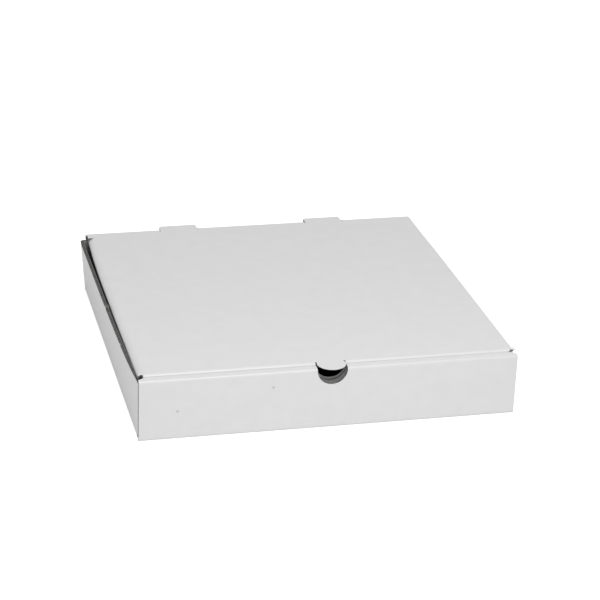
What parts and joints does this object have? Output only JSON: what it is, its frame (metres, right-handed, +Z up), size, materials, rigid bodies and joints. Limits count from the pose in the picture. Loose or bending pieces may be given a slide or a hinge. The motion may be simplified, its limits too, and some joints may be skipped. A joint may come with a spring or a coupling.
{
  "type": "pizza box",
  "caption": "Square flat box of white corrugated board with a roll-over front wall, a thumb notch and a tuck-in lid hinged on the back crease.",
  "frame": {"origin": "middle of the underside of the base, on the surface that the box stands on", "axes": "+X to the right as seen from the front, +Y from the thumb notch to the back crease, +Z up out of the tray"},
  "size_m": [0.305, 0.3142, 0.0516],
  "materials": {
    "tray_board": "matt white clay-coated liner over a grey fluted medium",
    "lid_board": "matt white clay-coated liner over a grey fluted medium"
  },
  "bodies": {
    "tray": {"tray": "tray_board"},
    "lid": {"lid": "lid_board"}
  },
  "joints": [
    {"name": "lid_hinge", "type": "hinge", "parent": "tray", "child": "lid", "pos_m": [0, 0.151, 0.0501], "axis": [-1, 0, 0], "range_deg": [0, 180]}
  ]
}
